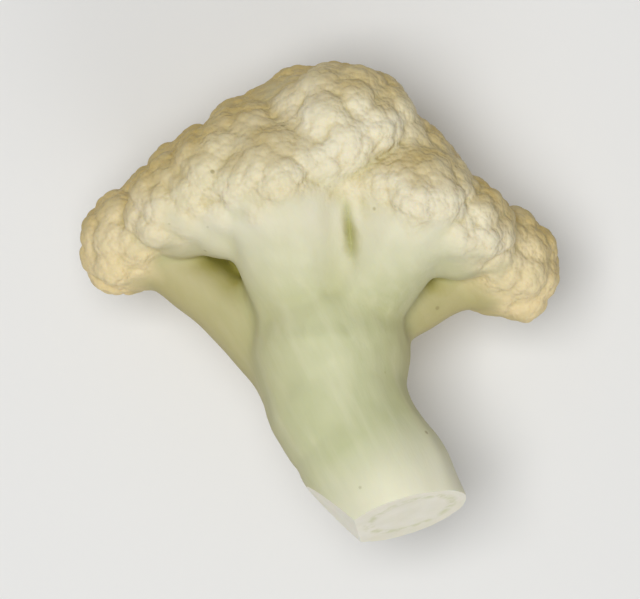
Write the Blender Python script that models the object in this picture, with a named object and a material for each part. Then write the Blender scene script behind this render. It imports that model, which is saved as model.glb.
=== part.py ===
"""A cauliflower floret, cut from the head for cooking and lying on its side.

It grew as one piece, so it is one solid. A thick stem forks into branches, each branch ends in
a lobe, and each lobe is covered with small domes of curd. The stem ends in a flat knife cut, and
a second stroke of the knife has pared one corner of that end.

Frame: the floret lies on the plane z = 0 with +Z up, and the crown of its curd points to +Y.
The origin is the centre of its box, on that plane.
"""

import math
import random

import bmesh
import bpy
from mathutils import Matrix, Vector

MM = 0.001

# The stem's centre line from its cut end up to the fork, and its radius there, in mm.
STEM = (
    ((9.0, 0.4, 7.4), 5.2),
    ((6.4, 4.6, 6.4), 5.9),
    ((3.6, 8.4, 5.2), 5.8),
    ((1.8, 12.0, 4.0), 6.2),
    ((1.6, 15.2, 2.8), 7.1),
    ((1.3, 18.4, 1.8), 6.9),
)
BRANCH_ROOT_RADIUS = 3.7
FORKS = {"fork": (2.9, 10.6, 3.6), "low fork": (1.0, 9.4, 3.4)}

# Each lobe of curd: its centre, from the same zero as the stem, its radius, the radius of the
# branch where it enters the lobe, in mm, and the fork or lobe it grows from. The last number is
# how far down the lobe the curd reaches: 1 is its tip, 0 its middle and -1 its underside.
LOBES = {
    "crown": ((1.0, 33.0, -2.5), 8.2, 4.0, "fork", -0.3),
    "left crown": ((-4.0, 32.0, -0.3), 6.6, 3.2, "crown", -0.3),
    "left shoulder": ((-8.3, 28.6, -2.4), 7.1, 3.6, "crown", -0.3),
    "right shoulder": ((6.6, 29.5, -1.8), 7.1, 3.4, "fork", -0.3),
    "left": ((-15.0, 25.0, -1.0), 5.4, 2.7, "low fork", -0.5),
    "left edge": ((-13.2, 27.0, -2.6), 4.8, 2.3, "left shoulder", -0.3),
    "right": ((16.0, 23.0, -1.0), 5.7, 2.4, "fork", -0.5),
    "left brow": ((-11.0, 27.8, 3.0), 5.4, 2.8, "left shoulder", -0.5),
    "right brow": ((12.3, 25.8, 4.0), 5.4, 2.8, "right shoulder", -0.4),
    "left temple": ((-7.2, 30.0, 4.6), 5.8, 2.8, "left shoulder", -0.3),
    "left cheek": ((-7.4, 27.2, 4.4), 4.9, 2.6, "left shoulder", -0.2),
    "left front": ((-2.5, 29.0, 5.9), 6.9, 5.8, "fork", 0.05),
    "right front": ((8.2, 27.4, 5.8), 6.5, 5.1, "fork", 0.05),
    "left rise": ((-4.6, 31.0, 3.7), 6.4, 2.8, "crown", -0.2),
    "right rise": ((6.8, 30.7, 3.4), 5.9, 2.8, "crown", -0.2),
    "brow": ((0.9, 31.0, 5.3), 6.3, 2.8, "crown", 0.0),
    "front crown": ((2.6, 33.2, 4.0), 7.4, 3.4, "crown", -0.3),
    "front cleft": ((3.0, 27.6, 5.2), 5.2, 4.4, "fork", 0.3),
    "back left": ((-8.8, 26.4, -11.3), 6.7, 3.2, "fork", -0.3),
    "back right": ((9.5, 25.0, -11.2), 6.8, 3.2, "fork", -0.3),
    "back": ((0.0, 20.6, -10.8), 7.2, 3.4, "fork", -0.3),
    "back crown": ((-1.0, 31.0, -10.7), 7.3, 3.4, "crown", -0.3),
}
HEART = (Vector((0.8, 30.0, -1.2)), 10.2)
DOME_COUNT = 20
DOME_SHARE = 0.39
DOME_MARGIN = 0.35
RIB_ROOT_RADIUS = 1.2
RIB_END_SHARE = 0.7
CORE_SHARE = 0.76

# Knife cuts: a point on the middle of each, the side that is cut away, and the width and
# length of the cut. The first squares off the stem and the second pares its corner.
CUTS = (
    (Vector((8.4, 2.0, 7.4)), Vector((0.29, -0.9, 0.33)), 30.0, 30.0),
    (Vector((1.5, 2.5, 6.6)), Vector((-0.66, -0.73, 0.18)), 16.0, 16.0),
)
REST_DEPTH = 0.5

VOXEL = 0.6
FLESH_PASSES = 9
CURD_PASSES = 1
EVEN_PASSES = 2
TRIANGLES = 8000
GOLDEN_ANGLE = math.pi * (3 - math.sqrt(5))
SEED = 7


def clear_scene():
    for obj in list(bpy.data.objects):
        bpy.data.objects.remove(obj)


def add_ball(bm, centre, radius, subdivisions=2):
    bmesh.ops.create_icosphere(
        bm, subdivisions=subdivisions, radius=radius, matrix=Matrix.Translation(centre)
    )


def add_limb(bm, start, end, start_radius, end_radius, sides=14):
    """A tapered length of stem or branch between two points, with a ball at its far end."""
    run = end - start
    turn = run.to_track_quat("Z", "Y").to_matrix().to_4x4()
    bmesh.ops.create_cone(
        bm,
        cap_ends=True,
        segments=sides,
        radius1=start_radius,
        radius2=end_radius,
        depth=run.length,
        matrix=Matrix.Translation((start + end) / 2) @ turn,
    )
    add_ball(bm, end, end_radius)


def axis_of(centre):
    """The way a lobe faces: outwards from the fork."""
    return (centre - Vector(FORKS["fork"])).normalized()


def cap_directions(axis, count, spread):
    """Unit vectors spread evenly over a cap around axis, on the spiral that buds grow in."""
    turn = axis.to_track_quat("Z", "Y")
    for i in range(count):
        height = 1 - (1 - math.cos(spread)) * (i + 0.5) / count
        width = math.sqrt(1 - height * height)
        angle = i * GOLDEN_ANGLE
        yield turn @ Vector((width * math.cos(angle), width * math.sin(angle), height))


def grow_stem(bm):
    for (low, low_radius), (high, high_radius) in zip(STEM, STEM[1:]):
        add_limb(bm, Vector(low), Vector(high), low_radius, high_radius, sides=32)


def grow_branch(bm, start, centre, end_radius):
    """The branch to a lobe. It leaves along the stem and curves outwards."""
    growth = (Vector(STEM[-2][0]) - Vector(STEM[1][0])).normalized()
    knee = start + growth * (centre - start).length * 0.42
    steps = 6
    before, before_radius = start, BRANCH_ROOT_RADIUS
    for i in range(1, steps + 1):
        share = i / steps
        point = start.lerp(knee, share).lerp(knee.lerp(centre, share), share)
        width = BRANCH_ROOT_RADIUS + (end_radius - BRANCH_ROOT_RADIUS) * share
        add_limb(bm, before, point, before_radius, width)
        if i == steps:
            return before
        before, before_radius = point, width


def grow_lobe(bm, centre, radius, root, bare, rng):
    """A lobe of curd: domes on a spiral, each on a rib from the end of the branch."""
    add_ball(bm, centre, radius * CORE_SHARE, subdivisions=3)
    for direction in cap_directions(axis_of(centre), DOME_COUNT, math.acos(bare + DOME_MARGIN)):
        dome_radius = radius * DOME_SHARE * rng.uniform(0.86, 1.12)
        place = centre + direction * (radius - dome_radius) * rng.uniform(0.96, 1.03)
        add_ball(bm, place, dome_radius, subdivisions=3)
        add_limb(bm, root, place, RIB_ROOT_RADIUS, dome_radius * RIB_END_SHARE, sides=10)


def pour(bm, whole):
    """Adds everything in bm to the mesh of the whole floret and frees it."""
    mesh = bpy.data.meshes.new("growth")
    bm.to_mesh(mesh)
    bm.free()
    whole.from_mesh(mesh)
    bpy.data.meshes.remove(mesh)


def grow_floret():
    """Every stem, branch, rib and dome as closed shapes that run into each other."""
    rng = random.Random(SEED)
    whole = bmesh.new()
    bm = bmesh.new()
    grow_stem(bm)
    add_ball(bm, *HEART, subdivisions=4)
    pour(bm, whole)
    for centre, radius, branch_radius, parent, bare in LOBES.values():
        bm = bmesh.new()
        start = Vector(FORKS[parent] if parent in FORKS else LOBES[parent][0])
        root = grow_branch(bm, start, Vector(centre), branch_radius)
        grow_lobe(bm, Vector(centre), radius, root, bare, rng)
        pour(bm, whole)
    return whole


def apply_modifiers(obj):
    graph = bpy.context.evaluated_depsgraph_get()
    mesh = bpy.data.meshes.new_from_object(obj.evaluated_get(graph))
    obj.modifiers.clear()
    obj.data = mesh


def curd_share(point):
    """1 on the curd of a lobe, falling to 0 on the flesh of the stem and the branches."""
    share = 0.0
    for centre, radius, _, _, bare in LOBES.values():
        offset = (point - Vector(centre)) / radius
        close = min(1.0, (1.16 - offset.length) / 0.2)
        above = min(1.0, (offset.dot(axis_of(Vector(centre))) - bare) / 0.2 + 0.5)
        if close > 0.0 and above > 0.0:
            share = max(share, close * above)
    return share


def fuse(whole, voxel):
    """One closed skin round the whole floret, with its branches run smoothly together."""
    mesh = bpy.data.meshes.new("floret")
    whole.to_mesh(mesh)
    whole.free()
    obj = bpy.data.objects.new("floret", mesh)
    bpy.context.scene.collection.objects.link(obj)
    remesh = obj.modifiers.new("one skin", "REMESH")
    remesh.mode = "VOXEL"
    remesh.voxel_size = voxel
    apply_modifiers(obj)

    flesh = obj.vertex_groups.new(name="flesh")
    for vert in obj.data.vertices:
        flesh.add([vert.index], 1.0 - curd_share(vert.co), "REPLACE")
    ease = obj.modifiers.new("ease the flesh", "SMOOTH")
    ease.iterations = FLESH_PASSES
    ease.factor = 0.5
    ease.vertex_group = flesh.name
    soften = obj.modifiers.new("soften", "SMOOTH")
    soften.iterations = CURD_PASSES
    soften.factor = 0.5
    thin = obj.modifiers.new("fewer faces", "DECIMATE")
    thin.ratio = TRIANGLES / (2 * len(obj.data.polygons))
    thin.use_collapse_triangulate = True
    even = obj.modifiers.new("even out", "SMOOTH")
    even.iterations = EVEN_PASSES
    even.factor = 0.3
    apply_modifiers(obj)
    return obj


def slice_off(obj, point, outward, width, length):
    """Cuts away everything on the outward side of a flat rectangle."""
    bm = bmesh.new()
    bmesh.ops.create_cube(bm, size=1.0)
    turn = outward.to_track_quat("Z", "Y").to_matrix().to_4x4()
    shape = Matrix.Diagonal((width, length, 12.0, 1.0)) @ Matrix.Translation((0, 0, 0.5))
    bmesh.ops.transform(bm, matrix=Matrix.Translation(point) @ turn @ shape, verts=bm.verts)
    mesh = bpy.data.meshes.new("knife")
    bm.to_mesh(mesh)
    bm.free()
    knife = bpy.data.objects.new("knife", mesh)
    bpy.context.scene.collection.objects.link(knife)
    cut = obj.modifiers.new("cut", "BOOLEAN")
    cut.operation = "DIFFERENCE"
    cut.solver = "EXACT"
    cut.object = knife
    apply_modifiers(obj)
    bpy.data.objects.remove(knife)


def settle(obj):
    """Trims flat spots to lie on, and puts the centre of the box's base at the origin."""
    low = min(vert.co.z for vert in obj.data.vertices)
    slice_off(obj, Vector((0, 20, low + REST_DEPTH)), Vector((0, 0, -1)), 80.0, 80.0)
    spots = [vert.co for vert in obj.data.vertices]
    middle_x = (min(spot.x for spot in spots) + max(spot.x for spot in spots)) / 2
    middle_y = (min(spot.y for spot in spots) + max(spot.y for spot in spots)) / 2
    low = min(spot.z for spot in spots)
    obj.data.transform(Matrix.Scale(MM, 4) @ Matrix.Translation((-middle_x, -middle_y, -low)))


def paint(obj):
    material = bpy.data.materials.new("curd and stem")
    material.use_nodes = True
    shader = material.node_tree.nodes["Principled BSDF"]
    shader.inputs["Base Color"].default_value = (0.64, 0.57, 0.38, 1.0)
    shader.inputs["Roughness"].default_value = 0.62
    shader.inputs["Metallic"].default_value = 0.0
    obj.data.materials.clear()
    obj.data.materials.append(material)
    obj.data.shade_smooth()
    obj.data.set_sharp_from_angle(angle=math.radians(50))


clear_scene()
floret = fuse(grow_floret(), VOXEL)
for point, outward, width, length in CUTS:
    slice_off(floret, point, outward, width, length)
settle(floret)
paint(floret)
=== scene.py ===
import itertools
import math
import random

import bmesh
import bpy
import numpy as np
from mathutils import Matrix, Vector, kdtree, noise
from mathutils.bvhtree import BVHTree


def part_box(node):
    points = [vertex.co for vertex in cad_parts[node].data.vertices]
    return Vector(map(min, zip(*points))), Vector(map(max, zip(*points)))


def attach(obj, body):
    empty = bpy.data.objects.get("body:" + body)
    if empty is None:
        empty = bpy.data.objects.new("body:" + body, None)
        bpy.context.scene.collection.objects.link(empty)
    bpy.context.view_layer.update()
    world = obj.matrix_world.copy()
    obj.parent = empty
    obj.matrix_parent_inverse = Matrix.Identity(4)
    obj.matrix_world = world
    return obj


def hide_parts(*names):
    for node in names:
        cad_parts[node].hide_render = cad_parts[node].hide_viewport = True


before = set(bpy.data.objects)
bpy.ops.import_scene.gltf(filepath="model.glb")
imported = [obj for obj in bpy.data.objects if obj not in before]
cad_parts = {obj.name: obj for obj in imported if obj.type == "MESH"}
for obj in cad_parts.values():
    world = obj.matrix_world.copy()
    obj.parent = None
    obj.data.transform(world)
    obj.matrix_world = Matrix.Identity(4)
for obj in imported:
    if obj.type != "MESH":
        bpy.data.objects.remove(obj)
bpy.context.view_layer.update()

solid_low, solid_high = (Vector(corner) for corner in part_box("floret"))


# The stem. Pale, watery flesh under a smooth skin, a little fatter where it was cut from the
# head, and bent to one side. It grew in one piece with everything above it, so every shape
# here is a closed form that runs into the next one. Sizes are in millimetres as it grew.
STEM = (
    ((9.0, 0.4, 7.4), 5.2),
    ((6.4, 4.6, 6.4), 5.9),
    ((3.6, 8.4, 5.2), 5.8),
    ((1.8, 12.0, 4.0), 6.2),
    ((1.6, 15.2, 2.8), 7.1),
    ((1.3, 18.4, 1.8), 6.9),
)


def add_ball(bm, centre, radius, subdivisions=2):
    bmesh.ops.create_icosphere(
        bm, subdivisions=subdivisions, radius=radius, matrix=Matrix.Translation(centre)
    )


def add_limb(bm, start, end, start_radius, end_radius, sides=14):
    run = end - start
    turn = run.to_track_quat("Z", "Y").to_matrix().to_4x4()
    bmesh.ops.create_cone(
        bm,
        cap_ends=True,
        segments=sides,
        radius1=start_radius,
        radius2=end_radius,
        depth=run.length,
        matrix=Matrix.Translation((start + end) / 2) @ turn,
    )
    add_ball(bm, end, end_radius)


def pour(bm, whole):
    mesh = bpy.data.meshes.new("growth")
    bm.to_mesh(mesh)
    bm.free()
    whole.from_mesh(mesh)
    bpy.data.meshes.remove(mesh)


growth = bmesh.new()
stem = bmesh.new()
for (low, low_radius), (high, high_radius) in zip(STEM, STEM[1:]):
    add_limb(stem, Vector(low), Vector(high), low_radius, high_radius, sides=32)
pour(stem, growth)


# The branches. The stem forks, and each branch leaves along it, then bends outwards to its
# own lobe. The lobes at the front and on the crown bud from their neighbours instead. A lobe
# has a centre, a radius, a branch radius, a parent, and how far its domes reach round it.
BRANCH_ROOT_RADIUS = 3.7
BRANCH_LENGTHS = 6
KNEE_SHARE = 0.42
FORKS = {"fork": (2.9, 10.6, 3.6), "low fork": (1.0, 9.4, 3.4)}
LOBES = {
    "crown": ((1.0, 33.0, -2.5), 8.2, 4.0, "fork", -0.3),
    "left crown": ((-4.0, 32.0, -0.3), 6.6, 3.2, "crown", -0.3),
    "left shoulder": ((-8.3, 28.6, -2.4), 7.1, 3.6, "crown", -0.3),
    "right shoulder": ((6.6, 29.5, -1.8), 7.1, 3.4, "fork", -0.3),
    "left": ((-15.0, 25.0, -1.0), 5.4, 2.7, "low fork", -0.5),
    "left edge": ((-13.2, 27.0, -2.6), 4.8, 2.3, "left shoulder", -0.3),
    "right": ((16.0, 23.0, -1.0), 5.7, 2.4, "fork", -0.5),
    "left brow": ((-11.0, 27.8, 3.0), 5.4, 2.8, "left shoulder", -0.5),
    "right brow": ((12.3, 25.8, 4.0), 5.4, 2.8, "right shoulder", -0.4),
    "left temple": ((-7.2, 30.0, 4.6), 5.8, 2.8, "left shoulder", -0.3),
    "left cheek": ((-7.4, 27.2, 4.4), 4.9, 2.6, "left shoulder", -0.2),
    "left front": ((-2.5, 29.0, 5.9), 6.9, 5.8, "fork", 0.05),
    "right front": ((8.2, 27.4, 5.8), 6.5, 5.1, "fork", 0.05),
    "left rise": ((-4.6, 31.0, 3.7), 6.4, 2.8, "crown", -0.2),
    "right rise": ((6.8, 30.7, 3.4), 5.9, 2.8, "crown", -0.2),
    "brow": ((0.9, 31.0, 5.3), 6.3, 2.8, "crown", 0.0),
    "front crown": ((2.6, 33.2, 4.0), 7.4, 3.4, "crown", -0.3),
    "front cleft": ((3.0, 27.6, 5.2), 5.2, 4.4, "fork", 0.3),
    "back left": ((-8.8, 26.4, -11.3), 6.7, 3.2, "fork", -0.3),
    "back right": ((9.5, 25.0, -11.2), 6.8, 3.2, "fork", -0.3),
    "back": ((0.0, 20.6, -10.8), 7.2, 3.4, "fork", -0.3),
    "back crown": ((-1.0, 31.0, -10.7), 7.3, 3.4, "crown", -0.3),
}


def grow_branch(bm, start, centre, end_radius):
    """Adds a bent branch in short lengths and returns where the last one starts."""
    along = (Vector(STEM[-2][0]) - Vector(STEM[1][0])).normalized()
    knee = start + along * (centre - start).length * KNEE_SHARE
    before, before_radius = start, BRANCH_ROOT_RADIUS
    for i in range(1, BRANCH_LENGTHS + 1):
        share = i / BRANCH_LENGTHS
        point = start.lerp(knee, share).lerp(knee.lerp(centre, share), share)
        width = BRANCH_ROOT_RADIUS + (end_radius - BRANCH_ROOT_RADIUS) * share
        add_limb(bm, before, point, before_radius, width)
        if i == BRANCH_LENGTHS:
            return before
        before, before_radius = point, width


# The lobes of curd. Each one is a head in small: domes of packed buds, set out on the spiral
# that buds grow in, each dome on a short rib from the end of the branch.
HEART = (Vector((0.8, 30.0, -1.2)), 10.2)
DOME_COUNT = 20
DOME_SHARE = 0.39
DOME_MARGIN = 0.35
DOME_SIZES = (0.86, 1.12)
DOME_REACHES = (0.96, 1.03)
RIB_ROOT_RADIUS = 1.2
RIB_END_SHARE = 0.7
CORE_SHARE = 0.76
GOLDEN_ANGLE = math.pi * (3 - math.sqrt(5))
SEED = 7


def cap_directions(axis, count, spread):
    """Directions spread evenly within an angle of the axis, on a spiral."""
    turn = axis.to_track_quat("Z", "Y")
    for i in range(count):
        height = 1 - (1 - math.cos(spread)) * (i + 0.5) / count
        width = math.sqrt(1 - height * height)
        angle = i * GOLDEN_ANGLE
        yield turn @ Vector((width * math.cos(angle), width * math.sin(angle), height))


# On these three lobes the curd stops somewhere else than the domes do.
CURD_EDGES = {"left brow": -0.08, "left cheek": 0.2, "right brow": -0.2}
chance = random.Random(SEED)
heart = bmesh.new()
add_ball(heart, *HEART, subdivisions=4)
pour(heart, growth)
heads = []
for name, (centre, radius, branch_radius, parent, bare) in LOBES.items():
    centre = Vector(centre)
    lobe = bmesh.new()
    start = Vector(FORKS[parent] if parent in FORKS else LOBES[parent][0])
    root = grow_branch(lobe, start, centre, branch_radius)
    axis = (centre - Vector(FORKS["fork"])).normalized()
    heads.append((np.array(centre), radius, np.array(axis), CURD_EDGES.get(name, bare)))
    add_ball(lobe, centre, radius * CORE_SHARE, subdivisions=3)
    for direction in cap_directions(axis, DOME_COUNT, math.acos(bare + DOME_MARGIN)):
        dome_radius = radius * DOME_SHARE * chance.uniform(*DOME_SIZES)
        place = centre + direction * (radius - dome_radius) * chance.uniform(*DOME_REACHES)
        add_ball(lobe, place, dome_radius, subdivisions=3)
        add_limb(lobe, root, place, RIB_ROOT_RADIUS, dome_radius * RIB_END_SHARE, sides=10)
    pour(lobe, growth)


# One skin round all of it. Flesh flows smoothly from the stem into the branches, while the
# curd keeps the folds between its domes.
SKIN_VOXEL = 0.2
FLESH_PASSES = 80
CURD_PASSES = 8
SMOOTH_FACTOR = 0.5
CURD_REACH = 1.16
CURD_REACH_FADE = 0.2
CURD_EDGE_FADE = 0.4
CURD_EDGE_NOISE = 0.42
CURD_EDGE_RAGGEDNESS = 0.3


def apply_modifiers(obj):
    graph = bpy.context.evaluated_depsgraph_get()
    mesh = bpy.data.meshes.new_from_object(obj.evaluated_get(graph))
    obj.modifiers.clear()
    obj.data = mesh


def add_object(name, data):
    obj = bpy.data.objects.new(name, data)
    bpy.context.scene.collection.objects.link(obj)
    return obj


def read_vectors(items, field):
    flat = np.empty(len(items) * 3, dtype=np.float32)
    items.foreach_get(field, flat)
    return flat.reshape(-1, 3).astype(np.float64)


def points_of(mesh):
    return read_vectors(mesh.vertices, "co")


def normals_of(mesh):
    return read_vectors(mesh.vertex_normals, "vector")


def tree_of(places):
    tree = kdtree.KDTree(len(places))
    for index, place in enumerate(places):
        tree.insert(place, index)
    tree.balance()
    return tree


def curd_share(points):
    """How much of each point is curd: 1 on the curd, 0 on bare skin."""
    share = np.zeros(len(points))
    waver = [noise.noise(point * CURD_EDGE_NOISE) for point in map(Vector, points)]
    ragged = np.array(waver) * CURD_EDGE_RAGGEDNESS
    for centre, radius, axis, bare in heads:
        near = np.linalg.norm(points - centre, axis=1) / radius
        height = (points - centre) @ axis / radius + ragged
        within = np.clip((CURD_REACH - near) / CURD_REACH_FADE, 0.0, 1.0)
        above = np.clip((height - bare) / CURD_EDGE_FADE + 0.5, 0.0, 1.0)
        share = np.maximum(share, within * above)
    return share


mesh = bpy.data.meshes.new("floret_skin")
growth.to_mesh(mesh)
growth.free()
floret = add_object("floret_skin", mesh)
remesh = floret.modifiers.new("one skin", "REMESH")
remesh.mode = "VOXEL"
remesh.voxel_size = SKIN_VOXEL
apply_modifiers(floret)

curd = curd_share(points_of(floret.data))
flesh = floret.vertex_groups.new(name="flesh")
for index, share in enumerate(curd):
    flesh.add([index], 1.0 - share, "REPLACE")
ease = floret.modifiers.new("ease the flesh", "SMOOTH")
ease.iterations = FLESH_PASSES
ease.factor = SMOOTH_FACTOR
ease.vertex_group = flesh.name
soften = floret.modifiers.new("soften", "SMOOTH")
soften.iterations = CURD_PASSES
soften.factor = SMOOTH_FACTOR
apply_modifiers(floret)


# The grain of the curd. Every dome is made of buds about a millimetre across, packed until
# they touch. Each bud is a low mound, and the folds between buds are narrow.
BUD_GAP = 1.05
BUD_HEIGHT = 0.16
BUD_VARIETY = 0.28
BUD_REACH = 0.72
LEAST_CURD_FOR_BUDS = 0.25
LEAST_CURD_FOR_MOUNDS = 0.02

points = points_of(floret.data)
normals = normals_of(floret.data)
curd = curd_share(points)


def plant_buds(points, curd, gap, chance):
    """Points on the curd, in random order, each kept if no earlier one is too near."""
    cells = {}
    buds = []
    order = [int(i) for i in np.flatnonzero(curd > LEAST_CURD_FOR_BUDS)]
    chance.shuffle(order)
    for i in order:
        x, y, z = points[i]
        home = (int(x // gap), int(y // gap), int(z // gap))
        crowded = any(
            (x - bx) ** 2 + (y - by) ** 2 + (z - bz) ** 2 < gap * gap
            for cell in itertools.product(*((n - 1, n, n + 1) for n in home))
            for bx, by, bz in cells.get(cell, ())
        )
        if not crowded:
            cells.setdefault(home, []).append((x, y, z))
            buds.append((x, y, z))
    return buds


buds = plant_buds(points, curd, BUD_GAP, chance)
bud_tree = tree_of(buds)
bud_heights = [BUD_HEIGHT * (1 + BUD_VARIETY * chance.uniform(-1, 1)) for _ in buds]
rise = np.zeros(len(points))
for i, point in enumerate(points):
    if curd[i] > LEAST_CURD_FOR_MOUNDS:
        _, bud, away = bud_tree.find(point)
        rise[i] = bud_heights[bud] * (1 - (away / (BUD_REACH * BUD_GAP)) ** 2) * curd[i]
moved = points + normals * rise[:, None]


# The skin of the stem. It is not quite even: shallow ribs run up it and fan out over the
# branches, following the strands inside.
RIB_DEPTH = 0.1
RIB_SCALE = 0.5
RIB_STRETCH = 0.9
FAN_DEPTH = 0.2
FAN_SCALE = 7.5
FAN_START = 14.0
FAN_END = 20.0
DENT_DEPTH = 0.12
DENT_SCALE = 0.3
fork = np.array(FORKS["fork"])
along_stem = np.array((Vector(STEM[4][0]) - Vector(STEM[0][0])).normalized())
across_stem = points - np.outer(points @ along_stem, along_stem) * RIB_STRETCH
out_from_fork = (points - fork) / np.linalg.norm(points - fork, axis=1)[:, None]
fan = np.clip((points[:, 1] - FAN_START) / (FAN_END - FAN_START), 0.0, 1.0)


def noise_of(places):
    return np.array([noise.noise(place) for place in map(Vector, places)])


unevenness = RIB_DEPTH * (1 - fan) * noise_of(across_stem * RIB_SCALE)
unevenness += FAN_DEPTH * fan * noise_of(out_from_fork * FAN_SCALE)
unevenness += DENT_DEPTH * noise_of(points * DENT_SCALE)
moved += normals * (unevenness * (1 - curd))[:, None]


# The cleft between the two front branches, a narrow split where they grew apart. It lies in a
# wider, shallower hollow, and only the upper side of the floret has it.
CLEFT = Vector((3.2, 26.2, 0.0))
CLEFT_HALF_WIDTH = 0.4
CLEFT_HALF_LENGTH = 2.4
CLEFT_DEPTH = 0.9
CLEFT_SLANT = 0.12
CLEFT_SHARPNESS = 1.4
CLEFT_LOWEST = 5.0
HOLLOW_HALF_WIDTH = 1.5
HOLLOW_DEPTH = 0.5
across = moved[:, 0] - CLEFT.x + CLEFT_SLANT * (moved[:, 1] - CLEFT.y)
along = (moved[:, 1] - CLEFT.y) / CLEFT_HALF_LENGTH
split = CLEFT_DEPTH * np.exp(-np.abs(across / CLEFT_HALF_WIDTH) ** CLEFT_SHARPNESS - along**2)
split += HOLLOW_DEPTH * np.exp(-(across / HOLLOW_HALF_WIDTH) ** 2 - 0.5 * along ** 2)
moved[:, 2] -= split * (moved[:, 2] > CLEFT_LOWEST)
floret.data.vertices.foreach_set("co", moved.astype(np.float32).ravel())
floret.data.update()


# How deep in a fold each place lies. Folds between buds, domes and lobes get painted shade,
# greener and darker than open curd, so they are measured at two sizes, as how far the surface
# lies below its own smoothed shape.
# Curd that faces out of the head gets a warm painted shade.
FINE_PASSES = 12
BROAD_PASSES = 160
TRIANGLES = 194000


def smoothed_shape(obj, passes):
    smoothed = obj.copy()
    smoothed.data = obj.data.copy()
    bpy.context.scene.collection.objects.link(smoothed)
    blur = smoothed.modifiers.new("blur", "SMOOTH")
    blur.iterations = passes
    blur.factor = SMOOTH_FACTOR
    apply_modifiers(smoothed)
    shape = points_of(smoothed.data), normals_of(smoothed.data)
    bpy.data.objects.remove(smoothed)
    return shape


own_points, own_normals = points_of(floret.data), normals_of(floret.data)
fine_shape, _ = smoothed_shape(floret, FINE_PASSES)
broad_shape, broad_normals = smoothed_shape(floret, BROAD_PASSES)
fine_folds = np.einsum("ij,ij->i", fine_shape - own_points, own_normals)
broad_folds = np.einsum("ij,ij->i", broad_shape - own_points, own_normals)
facing_out = np.einsum("ij,ij->i", broad_normals, out_from_fork)
place_tree = tree_of(own_points)

thin = floret.modifiers.new("fewer faces where it is smooth", "DECIMATE")
thin.ratio = min(1.0, TRIANGLES / (2 * len(floret.data.polygons)))
thin.use_collapse_triangulate = True
apply_modifiers(floret)


# The knife cuts. One stroke squares off the stem and a second pares its corner. The flesh
# inside is whiter than the skin. The lobes it lies on are flattened a little where they touch.
CUTS = (
    (Vector((8.4, 2.0, 7.4)), Vector((0.29, -0.9, 0.33)).normalized()),
    (Vector((1.5, 2.5, 6.6)), Vector((-0.66, -0.73, 0.18)).normalized()),
)
CUT_TOLERANCE = 2e-3
REST_DEPTH = 0.5


def slice_off(obj, point, outward):
    bm = bmesh.new()
    bm.from_mesh(obj.data)
    bmesh.ops.bisect_plane(
        bm,
        geom=bm.verts[:] + bm.edges[:] + bm.faces[:],
        dist=0.0,
        plane_co=point,
        plane_no=outward,
        clear_outer=True,
    )
    rim = [edge for edge in bm.edges if edge.is_boundary]
    for edge in rim:
        edge.smooth = False
    bmesh.ops.triangle_fill(bm, edges=rim, use_beauty=True, use_dissolve=False)
    bmesh.ops.recalc_face_normals(bm, faces=bm.faces[:])
    bm.to_mesh(obj.data)
    bm.free()


for point, outward in CUTS:
    slice_off(floret, point, outward)
lowest = points_of(floret.data)[:, 2].min()
slice_off(floret, Vector((0, 0, lowest + REST_DEPTH)), Vector((0, 0, -1)))


def keep_outer_skin(obj):
    """Deletes the bubbles that fusing the growth left inside it."""
    bm = bmesh.new()
    bm.from_mesh(obj.data)
    unseen = set(bm.verts)
    skins = []
    while unseen:
        skin = [unseen.pop()]
        for vert in skin:
            for edge in vert.link_edges:
                neighbour = edge.other_vert(vert)
                if neighbour in unseen:
                    unseen.discard(neighbour)
                    skin.append(neighbour)
        skins.append(skin)
    skins.sort(key=len)
    bubbles = [vert for skin in skins[:-1] for vert in skin]
    bmesh.ops.delete(bm, geom=bubbles, context="VERTS")
    bm.to_mesh(obj.data)
    bm.free()


keep_outer_skin(floret)


# How closed in each place is. Rays go out from every few points, and the nearer they meet other
# flesh the more sheltered the point, and the darker the shade painted on it. The points between
# share what was found.
SHELTER_REACH = 7.0
SHELTER_RAYS = 24
SHELTER_SPREAD = math.radians(80)
PROBE_STEP = 9
PROBE_LIFT = 0.15
PROBES_SHARED = 5
LEAST_AWAY = 0.1

final_points = points_of(floret.data)
final_normals = normals_of(floret.data)
bm = bmesh.new()
bm.from_mesh(floret.data)
surface = BVHTree.FromBMesh(bm)
bm.free()
probes = list(range(0, len(final_points), PROBE_STEP))
sheltered = []
for i in probes:
    normal = Vector(final_normals[i])
    start = Vector(final_points[i]) + normal * PROBE_LIFT
    hits = 0.0
    for direction in cap_directions(normal, SHELTER_RAYS, SHELTER_SPREAD):
        away = surface.ray_cast(start, direction, SHELTER_REACH)[3]
        if away is not None:
            hits += 1.0 - away / SHELTER_REACH
    sheltered.append(hits / SHELTER_RAYS)
probe_tree = tree_of([final_points[i] for i in probes])
shelter = np.empty(len(final_points))
for i, point in enumerate(final_points):
    found = probe_tree.find_n(point, PROBES_SHARED)
    weights = [1.0 / (away + LEAST_AWAY) for _, _, away in found]
    shelter[i] = sum(w * sheltered[j] for w, (_, j, _) in zip(weights, found)) / sum(weights)


# What the colours need to know goes onto the mesh, from the finer skin where it was measured
# there. Then the skin is moved and sized to fill the solid's own box.
curd = curd_share(final_points)
nearest = np.array([place_tree.find(point)[1] for point in final_points])
for name, values in (
    ("shelter", shelter),
    ("curd", curd),
    ("fine_folds", fine_folds[nearest]),
    ("broad_folds", broad_folds[nearest]),
    ("facing_out", facing_out[nearest]),
):
    layer = floret.data.attributes.new(name, "FLOAT", "POINT")
    layer.data.foreach_set("value", values.astype(np.float32))

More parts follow.
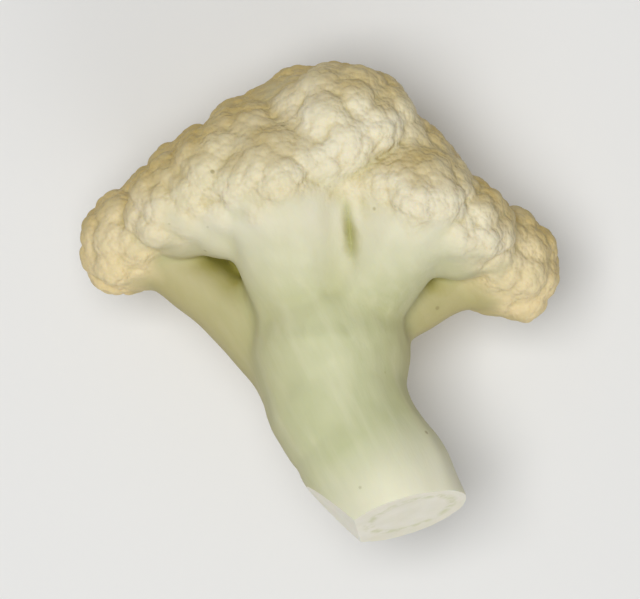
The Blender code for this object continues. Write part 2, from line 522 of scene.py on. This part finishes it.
middles = read_vectors(floret.data.polygons, "center")
cut = np.zeros(len(middles), dtype=np.float32)
for point, outward in CUTS:
    depth = np.abs((middles - np.array(point)) @ np.array(outward))
    cut[depth < CUT_TOLERANCE] = 1.0
layer = floret.data.attributes.new("cut", "FLOAT", "FACE")
layer.data.foreach_set("value", cut)

low = Vector(final_points.min(axis=0))
high = Vector(final_points.max(axis=0))
scale = Vector((solid_high[i] - solid_low[i]) / (high[i] - low[i]) for i in range(3))
to_solid = (
    Matrix.Translation(solid_low)
    @ Matrix.Diagonal((*scale, 1.0))
    @ Matrix.Translation(-low)
)
floret.data.transform(to_solid)
for polygon in floret.data.polygons:
    polygon.use_smooth = True


# What it looks like. Curd is matt and cream, the skin of the stem is smooth and faintly
# green, and a fresh cut is white. All three let a little light in. Lengths are in metres.
COLOURS = {
    "curd": (229, 221, 193),
    "curd patch": (222, 212, 176),
    "curd in low shade": (224, 202, 150),
    "curd in outward shade": (194, 169, 100),
    "shade between buds": (210, 195, 144),
    "shade between domes": (200, 186, 128),
    "curd in sheltered shade": (172, 157, 88),
    "stem": (205, 206, 166),
    "stem patch": (186, 190, 146),
    "branch": (226, 222, 198),
    "branch patch": (216, 212, 182),
    "stem by the cut": (229, 226, 204),
    "strand": (222, 220, 190),
    "skin in low shade": (172, 158, 102),
    "skin in fold shade": (186, 186, 132),
    "skin in sheltered shade": (156, 150, 68),
    "speck": (146, 134, 84),
    "fresh cut": (243, 239, 224),
    "fresh cut patch": (234, 230, 210),
    "strand in the cut": (212, 212, 172),
}
finish = bpy.data.materials.new("raw cauliflower")
finish.use_nodes = True
nodes = finish.node_tree.nodes
links = finish.node_tree.links
shader = nodes["Principled BSDF"]
shader.inputs["Subsurface Weight"].default_value = 0.25
shader.inputs["Subsurface Radius"].default_value = (1.0, 0.75, 0.35)
shader.inputs["Subsurface Scale"].default_value = 0.0012
shader.inputs["Roughness"].default_value = 0.6
shader.inputs["Specular IOR Level"].default_value = 0.35


def colour(name):
    """A named colour as the shader wants it, linear and with an alpha."""
    linear = [((c / 255 + 0.055) / 1.055) ** 2.4 for c in COLOURS[name]]
    return (*linear, 1.0)


def attribute(name):
    node = nodes.new("ShaderNodeAttribute")
    node.attribute_name = name
    return node.outputs["Fac"]


def ramp(value, low, high):
    node = nodes.new("ShaderNodeMapRange")
    node.inputs["From Min"].default_value = low
    node.inputs["From Max"].default_value = high
    links.new(value, node.inputs["Value"])
    return node.outputs["Result"]


def mix(share, first, second):
    node = nodes.new("ShaderNodeMix")
    node.data_type = "RGBA"
    links.new(share, node.inputs["Factor"])
    for socket, value in (("A_Color", first), ("B_Color", second)):
        target = next(s for s in node.inputs if s.identifier == socket)
        if isinstance(value, tuple):
            target.default_value = value
        else:
            links.new(value, target)
    return next(s for s in node.outputs if s.identifier == "Result_Color")


def noise_at(scale, detail=3.0, roughness=0.55):
    node = nodes.new("ShaderNodeTexNoise")
    node.inputs["Scale"].default_value = scale
    node.inputs["Detail"].default_value = detail
    node.inputs["Roughness"].default_value = roughness
    links.new(coords.outputs["Object"], node.inputs["Vector"])
    return node.outputs["Fac"]


def stretched_noise(scale, stretch):
    turn = nodes.new("ShaderNodeMapping")
    turn.vector_type = "TEXTURE"
    turn.inputs["Rotation"].default_value = Vector(along_stem).to_track_quat("Y", "Z").to_euler()
    turn.inputs["Scale"].default_value = (1.0, stretch, 1.0)
    links.new(coords.outputs["Object"], turn.inputs["Vector"])
    node = nodes.new("ShaderNodeTexNoise")
    node.inputs["Scale"].default_value = scale
    node.inputs["Detail"].default_value = 3.0
    links.new(turn.outputs["Vector"], node.inputs["Vector"])
    return node.outputs["Fac"]


def times(first, second):
    node = nodes.new("ShaderNodeMath")
    node.operation = "MULTIPLY"
    links.new(first, node.inputs[0])
    if isinstance(second, float):
        node.inputs[1].default_value = second
    else:
        links.new(second, node.inputs[1])
    return node.outputs["Value"]


coords = nodes.new("ShaderNodeTexCoord")
apart = nodes.new("ShaderNodeSeparateXYZ")
links.new(coords.outputs["Object"], apart.inputs["Vector"])
curd_fac = attribute("curd")
shelter_fac = attribute("shelter")
# Painted shade: the lower parts of the floret, shaded by their neighbours, are coloured darker
# and warmer.
low_shade = ramp(apart.outputs["Z"], 0.0265, 0.0160)

# The curd: patchy cream, with painted shade: warmer and darker low down, on curd that faces out
# of the head, in the folds and where it is sheltered.
open_curd = mix(ramp(noise_at(180), 0.35, 0.65), colour("curd"), colour("curd patch"))
open_curd = mix(low_shade, open_curd, colour("curd in low shade"))
# Painted shade: a warm, darker tone on curd that faces out of the head.
outward_shade = times(ramp(attribute("facing_out"), 0.55, 1.0), ramp(noise_at(130), 0.1, 0.5))
open_curd = mix(outward_shade, open_curd, colour("curd in outward shade"))
# Painted shade in the folds between buds and between domes.
shaded_curd = mix(ramp(attribute("fine_folds"), 0.0, 0.14), open_curd, colour("shade between buds"))
shaded_curd = mix(ramp(attribute("broad_folds"), 0.0, 1.0), shaded_curd, colour("shade between domes"))
# Painted shade where the curd is sheltered by other flesh.
shaded_curd = mix(ramp(shelter_fac, 0.25, 0.8), shaded_curd, colour("curd in sheltered shade"))

# The skin: green on the stem, paler on the branches and by the cut, with faint strands in it,
# and painted shade low down, in the folds and where it is sheltered.
offset = nodes.new("ShaderNodeVectorMath")
offset.operation = "DISTANCE"
offset.inputs[1].default_value = to_solid @ CUTS[0][0]
links.new(coords.outputs["Object"], offset.inputs[0])
from_pith = offset.outputs["Value"]
stem_skin = mix(ramp(noise_at(110), 0.3, 0.7), colour("stem"), colour("stem patch"))
pale_skin = mix(ramp(noise_at(160), 0.35, 0.65), colour("branch"), colour("branch patch"))
skin = mix(ramp(apart.outputs["Y"], 0.0003, 0.0063), stem_skin, pale_skin)
skin = mix(ramp(from_pith, 0.0088, 0.0045), skin, colour("stem by the cut"))
strands = ramp(stretched_noise(900, 9.0), 0.42, 0.68)
skin = mix(times(strands, 0.28), skin, colour("strand"))
# Painted shade on the skin: darker and browner low down.
skin = mix(low_shade, skin, colour("skin in low shade"))
# Painted shade in the broad folds of the skin.
skin = mix(ramp(attribute("broad_folds"), 0.0, 0.5), skin, colour("skin in fold shade"))
# Painted shade where the skin is sheltered by other flesh.
skin = mix(ramp(shelter_fac, 0.2, 0.75), skin, colour("skin in sheltered shade"))
body = mix(curd_fac, skin, shaded_curd)

# A few specks on all of it, and the cut with its ring of strands.
specks = nodes.new("ShaderNodeTexVoronoi")
specks.inputs["Scale"].default_value = 330
links.new(coords.outputs["Object"], specks.inputs["Vector"])
body = mix(times(ramp(specks.outputs["Distance"], 0.08, 0.04), 0.6), body, colour("speck"))

fresh = mix(ramp(noise_at(320), 0.3, 0.7), colour("fresh cut"), colour("fresh cut patch"))
strand_ring = times(ramp(from_pith, 0.0031, 0.0036), ramp(from_pith, 0.0043, 0.0038))
strand_dots = times(strand_ring, ramp(noise_at(1100), 0.42, 0.6))
fresh = mix(times(strand_dots, 0.7), fresh, colour("strand in the cut"))
links.new(mix(attribute("cut"), body, fresh), shader.inputs["Base Color"])

# The finest grain, too small to model: bumps on the curd and pores in the skin.
grain = nodes.new("ShaderNodeTexVoronoi")
grain.feature = "SMOOTH_F1"
grain.inputs["Scale"].default_value = 2200
grain.inputs["Smoothness"].default_value = 0.4
links.new(coords.outputs["Object"], grain.inputs["Vector"])
bump = nodes.new("ShaderNodeBump")
bump.invert = True
bump.inputs["Distance"].default_value = 0.00012
links.new(curd_fac, bump.inputs["Strength"])
links.new(grain.outputs["Distance"], bump.inputs["Height"])
pores = nodes.new("ShaderNodeBump")
pores.inputs["Distance"].default_value = 0.00004
pores.inputs["Strength"].default_value = 0.6
links.new(stretched_noise(2600, 4.0), pores.inputs["Height"])
links.new(bump.outputs["Normal"], pores.inputs["Normal"])
links.new(pores.outputs["Normal"], shader.inputs["Normal"])
floret.data.materials.clear()
floret.data.materials.append(finish)

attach(floret, "root")
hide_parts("floret")


# The table it lies on, the light over it and the camera above it. The key light is nearly
# overhead and small enough to draw the folds, and the fill softens its shade.
FLOOR_HALF_WIDTH = 1.5
CAMERA_HEIGHT = 0.385
bm = bmesh.new()
bmesh.ops.create_grid(bm, x_segments=1, y_segments=1, size=FLOOR_HALF_WIDTH)
mesh = bpy.data.meshes.new("floor")
bm.to_mesh(mesh)
bm.free()
floor = add_object("floor", mesh)
floor.data.transform(Matrix.Translation((0, 0, solid_low.z)))
paint = bpy.data.materials.new("pale floor")
paint.use_nodes = True
paint_inputs = paint.node_tree.nodes["Principled BSDF"].inputs
paint_inputs["Base Color"].default_value = (0.8, 0.8, 0.79, 1.0)
paint_inputs["Roughness"].default_value = 0.9
floor.data.materials.append(paint)

middle = (solid_low + solid_high) / 2


def add_light(name, place, size, power):
    lamp = bpy.data.lights.new(name, "AREA")
    lamp.size = size
    lamp.energy = power
    obj = add_object(name, lamp)
    obj.location = middle + Vector(place)
    obj.rotation_mode = "QUATERNION"
    obj.rotation_quaternion = (-Vector(place)).to_track_quat("-Z", "Y")


add_light("key", (-0.06, 0.0, 0.5), 0.2, 1.78)
add_light("fill", (0.2, -0.45, 0.3), 0.4, 0.75)

sky = bpy.data.worlds.new("studio")
sky.use_nodes = True
sky.node_tree.nodes["Background"].inputs["Color"].default_value = (1.0, 1.0, 1.0, 1.0)
sky.node_tree.nodes["Background"].inputs["Strength"].default_value = 0.24
bpy.context.scene.world = sky
bpy.context.scene.view_settings.view_transform = "Standard"

lens = bpy.data.cameras.new("camera")
lens.lens = 250
lens.sensor_width = 36
lens.clip_start = 0.01
camera = add_object("camera", lens)
camera.location = (middle.x, middle.y, middle.z + CAMERA_HEIGHT)
bpy.context.scene.camera = camera
